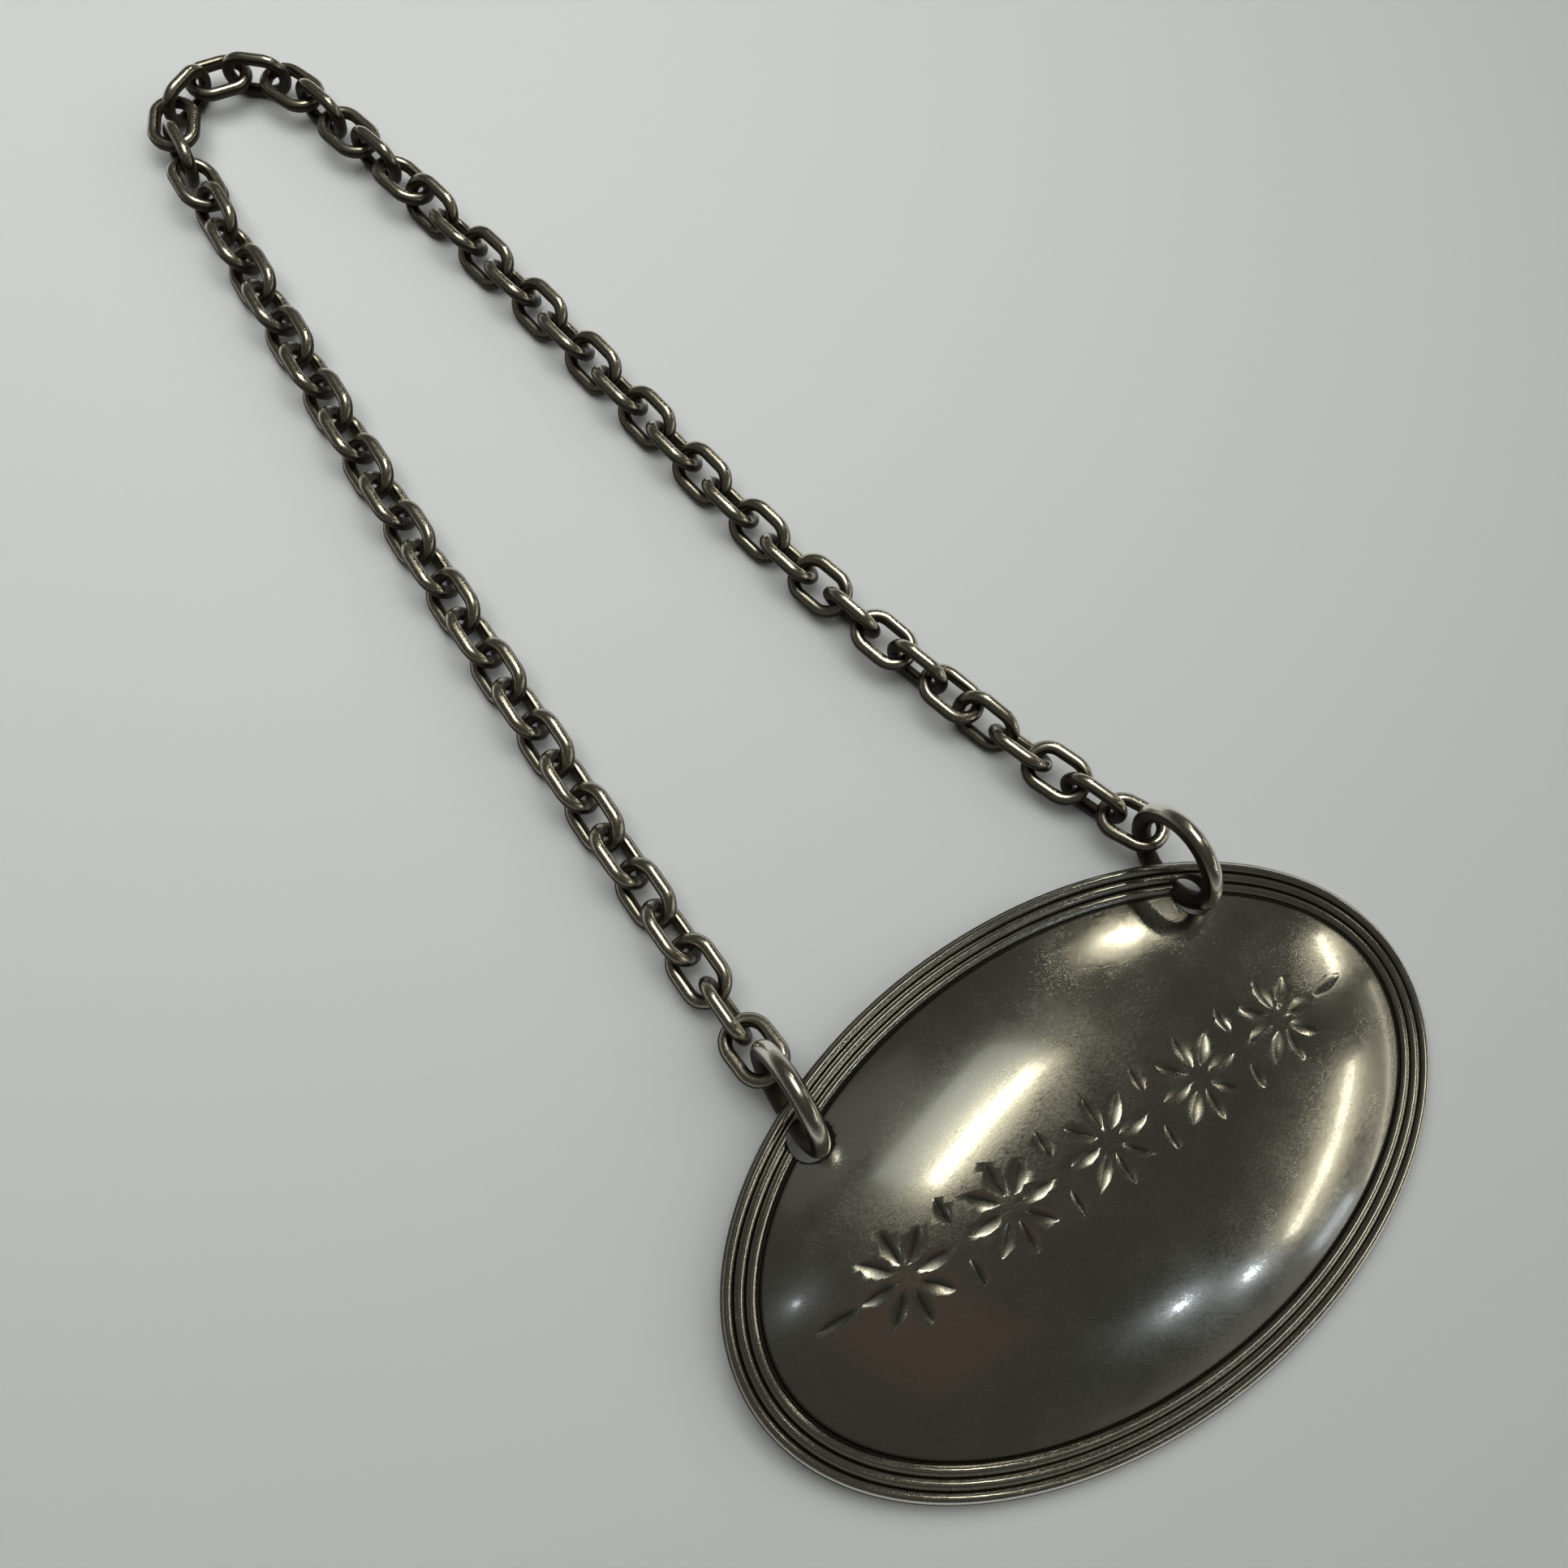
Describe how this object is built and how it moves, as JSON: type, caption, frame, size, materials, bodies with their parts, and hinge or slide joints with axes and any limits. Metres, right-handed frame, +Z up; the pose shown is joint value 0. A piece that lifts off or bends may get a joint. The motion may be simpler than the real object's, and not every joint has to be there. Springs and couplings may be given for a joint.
{
  "type": "wine label",
  "caption": "Domed oval silver wine label with a reeded border, hung from a loop of oval-link chain by a jump ring at each shoulder.",
  "frame": {"origin": "middle of the plate's lower edge, where its back rests on the surface", "axes": "+X along the plate, +Y from the plate to the far end of the chain, +Z up from the surface that the label lies on"},
  "size_m": [0.046, 0.1052, 0.007],
  "materials": {
    "plate_silver": "polished silver, softly worn",
    "ring_silver": "worn silver wire",
    "chain_silver": "silver wire, tarnished dark in its recesses"
  },
  "bodies": {
    "label": {"label_plate": "plate_silver"},
    "rings": {"left_ring": "ring_silver", "right_ring": "ring_silver"},
    "row_01": {"left_link_01": "chain_silver", "right_link_01": "chain_silver"},
    "row_02": {"left_link_02": "chain_silver", "right_link_02": "chain_silver"},
    "row_03": {"left_link_03": "chain_silver", "right_link_03": "chain_silver"},
    "row_04": {"left_link_04": "chain_silver", "right_link_04": "chain_silver"},
    "row_05": {"left_link_05": "chain_silver", "right_link_05": "chain_silver"},
    "row_06": {"left_link_06": "chain_silver", "right_link_06": "chain_silver"},
    "row_07": {"left_link_07": "chain_silver", "right_link_07": "chain_silver"},
    "row_08": {"left_link_08": "chain_silver", "right_link_08": "chain_silver"},
    "row_09": {"left_link_09": "chain_silver", "right_link_09": "chain_silver"},
    "row_10": {"left_link_10": "chain_silver", "right_link_10": "chain_silver"},
    "row_11": {"left_link_11": "chain_silver", "right_link_11": "chain_silver"},
    "row_12": {"left_link_12": "chain_silver", "right_link_12": "chain_silver"},
    "row_13": {"left_link_13": "chain_silver", "right_link_13": "chain_silver"},
    "row_14": {"left_link_14": "chain_silver", "right_link_14": "chain_silver"},
    "row_15": {"left_link_15": "chain_silver", "right_link_15": "chain_silver"},
    "row_16": {"left_link_16": "chain_silver", "right_link_16": "chain_silver"},
    "row_17": {"left_link_17": "chain_silver", "right_link_17": "chain_silver"},
    "row_18": {"left_link_18": "chain_silver", "right_link_18": "chain_silver"},
    "row_19": {"left_link_19": "chain_silver", "right_link_19": "chain_silver"},
    "row_20": {"left_link_20": "chain_silver", "right_link_20": "chain_silver"},
    "row_21": {"left_link_21": "chain_silver", "right_link_21": "chain_silver"},
    "row_22": {"left_link_22": "chain_silver", "right_link_22": "chain_silver"},
    "row_23": {"left_link_23": "chain_silver", "right_link_23": "chain_silver"},
    "row_24": {"left_link_24": "chain_silver", "right_link_24": "chain_silver"},
    "row_25": {"left_link_25": "chain_silver", "right_link_25": "chain_silver"},
    "row_26": {"left_link_26": "chain_silver", "right_link_26": "chain_silver"},
    "row_27": {"left_link_27": "chain_silver", "right_link_27": "chain_silver"},
    "row_28": {"left_link_28": "chain_silver", "right_link_28": "chain_silver"},
    "bend": {"bend_links": "chain_silver"}
  },
  "joints": [
    {"name": "chain_swing", "type": "hinge", "parent": "label", "child": "rings", "pos_m": [0, 0.02565, 0.0035], "axis": [1, 0, 0], "range_deg": [-25, 138]},
    {"name": "fold_01", "type": "hinge", "parent": "rings", "child": "row_01", "pos_m": [0.00013, 0.02754, 0.00249], "axis": [1, 0, 0], "range_deg": [-25, 25]},
    {"name": "fold_02", "type": "hinge", "parent": "row_01", "child": "row_02", "pos_m": [-0.00048, 0.03012, 0.00173], "axis": [-1, 0.0079, -0.0011], "range_deg": [-10, 25]},
    {"name": "fold_03", "type": "hinge", "parent": "row_02", "child": "row_03", "pos_m": [-0.00109, 0.03269, 0.00167], "axis": [0.9999, -0.0161, 0.0038], "range_deg": [-25, 20]},
    {"name": "fold_04", "type": "hinge", "parent": "row_03", "child": "row_04", "pos_m": [-0.00168, 0.03527, 0.00153], "axis": [-0.9997, 0.0245, -0.0037], "range_deg": [-20, 25]},
    {"name": "fold_05", "type": "hinge", "parent": "row_04", "child": "row_05", "pos_m": [-0.00225, 0.03785, 0.00141], "axis": [0.9995, -0.033, 0.0031], "range_deg": [-25, 10]},
    {"name": "fold_06", "type": "hinge", "parent": "row_05", "child": "row_06", "pos_m": [-0.00281, 0.04044, 0.00152], "axis": [-0.9991, 0.0414, -0.0125], "range_deg": [-20, 25]},
    {"name": "fold_07", "type": "hinge", "parent": "row_06", "child": "row_07", "pos_m": [-0.00334, 0.04304, 0.00156], "axis": [0.9986, -0.0495, 0.0163], "range_deg": [-25, 25]},
    {"name": "fold_08", "type": "hinge", "parent": "row_07", "child": "row_08", "pos_m": [-0.00384, 0.04565, 0.00156], "axis": [-0.9982, 0.0574, -0.0168], "range_deg": [-25, 25]},
    {"name": "fold_09", "type": "hinge", "parent": "row_08", "child": "row_09", "pos_m": [-0.00431, 0.04827, 0.00155], "axis": [0.9978, -0.0648, 0.0167], "range_deg": [-25, 25]},
    {"name": "fold_10", "type": "hinge", "parent": "row_09", "child": "row_10", "pos_m": [-0.00475, 0.05089, 0.0015], "axis": [-0.9973, 0.0718, -0.0121], "range_deg": [-20, 25]},
    {"name": "fold_11", "type": "hinge", "parent": "row_10", "child": "row_11", "pos_m": [-0.00516, 0.05352, 0.0014], "axis": [0.9969, -0.0783, 0.0025], "range_deg": [-25, 25]},
    {"name": "fold_12", "type": "hinge", "parent": "row_11", "child": "row_12", "pos_m": [-0.00554, 0.05616, 0.00138], "axis": [-0.9964, 0.0843, 0], "range_deg": [-25, 25]},
    {"name": "fold_13", "type": "hinge", "parent": "row_12", "child": "row_13", "pos_m": [-0.0059, 0.05881, 0.00138], "axis": [0.9959, -0.0901, 0], "range_deg": [-25, 25]},
    {"name": "fold_14", "type": "hinge", "parent": "row_13", "child": "row_14", "pos_m": [-0.00623, 0.06146, 0.00138], "axis": [-0.9954, 0.0956, 0], "range_deg": [-25, 25]},
    {"name": "fold_15", "type": "hinge", "parent": "row_14", "child": "row_15", "pos_m": [-0.00655, 0.06411, 0.00138], "axis": [0.9949, -0.101, 0], "range_deg": [-25, 25]},
    {"name": "fold_16", "type": "hinge", "parent": "row_15", "child": "row_16", "pos_m": [-0.00685, 0.06676, 0.00138], "axis": [-0.9943, 0.1064, 0], "range_deg": [-25, 25]},
    {"name": "fold_17", "type": "hinge", "parent": "row_16", "child": "row_17", "pos_m": [-0.00714, 0.06942, 0.00138], "axis": [0.9937, -0.1121, 0], "range_deg": [-25, 25]},
    {"name": "fold_18", "type": "hinge", "parent": "row_17", "child": "row_18", "pos_m": [-0.00743, 0.07207, 0.00138], "axis": [-0.993, 0.1182, 0], "range_deg": [-25, 25]},
    {"name": "fold_19", "type": "hinge", "parent": "row_18", "child": "row_19", "pos_m": [-0.00772, 0.07472, 0.00138], "axis": [0.9922, -0.1249, 0], "range_deg": [-25, 25]},
    {"name": "fold_20", "type": "hinge", "parent": "row_19", "child": "row_20", "pos_m": [-0.00802, 0.07737, 0.00138], "axis": [-0.9912, 0.1324, 0], "range_deg": [-25, 25]},
    {"name": "fold_21", "type": "hinge", "parent": "row_20", "child": "row_21", "pos_m": [-0.00832, 0.08002, 0.00138], "axis": [0.99, -0.1411, 0], "range_deg": [-25, 25]},
    {"name": "fold_22", "type": "hinge", "parent": "row_21", "child": "row_22", "pos_m": [-0.00864, 0.08267, 0.00138], "axis": [-0.9885, 0.1513, 0], "range_deg": [-25, 25]},
    {"name": "fold_23", "type": "hinge", "parent": "row_22", "child": "row_23", "pos_m": [-0.00897, 0.08531, 0.00138], "axis": [0.9866, -0.1632, 0], "range_deg": [-25, 25]},
    {"name": "fold_24", "type": "hinge", "parent": "row_23", "child": "row_24", "pos_m": [-0.00931, 0.08795, 0.0014], "axis": [-0.9842, 0.1771, -0.0037], "range_deg": [-20, 25]},
    {"name": "fold_25", "type": "hinge", "parent": "row_24", "child": "row_25", "pos_m": [-0.00966, 0.09058, 0.00153], "axis": [0.981, -0.1936, 0.0147], "range_deg": [-25, 25]},
    {"name": "fold_26", "type": "hinge", "parent": "row_25", "child": "row_26", "pos_m": [-0.01003, 0.09321, 0.00166], "axis": [-0.977, 0.2129, -0.0104], "range_deg": [-20, 25]},
    {"name": "fold_27", "type": "hinge", "parent": "row_26", "child": "row_27", "pos_m": [-0.01041, 0.09584, 0.00172], "axis": [0.9719, -0.2356, 0.0031], "range_deg": [-25, 25]},
    {"name": "fold_28", "type": "hinge", "parent": "row_27", "child": "row_28", "pos_m": [-0.01076, 0.09846, 0.00174], "axis": [-0.9647, 0.2632, 0], "range_deg": [-25, 25]},
    {"name": "fold_29", "type": "hinge", "parent": "row_28", "child": "bend", "pos_m": [-0.01057, 0.10093, 0.00174], "axis": [0.9541, -0.2993, 0], "range_deg": [-15, 15]}
  ]
}
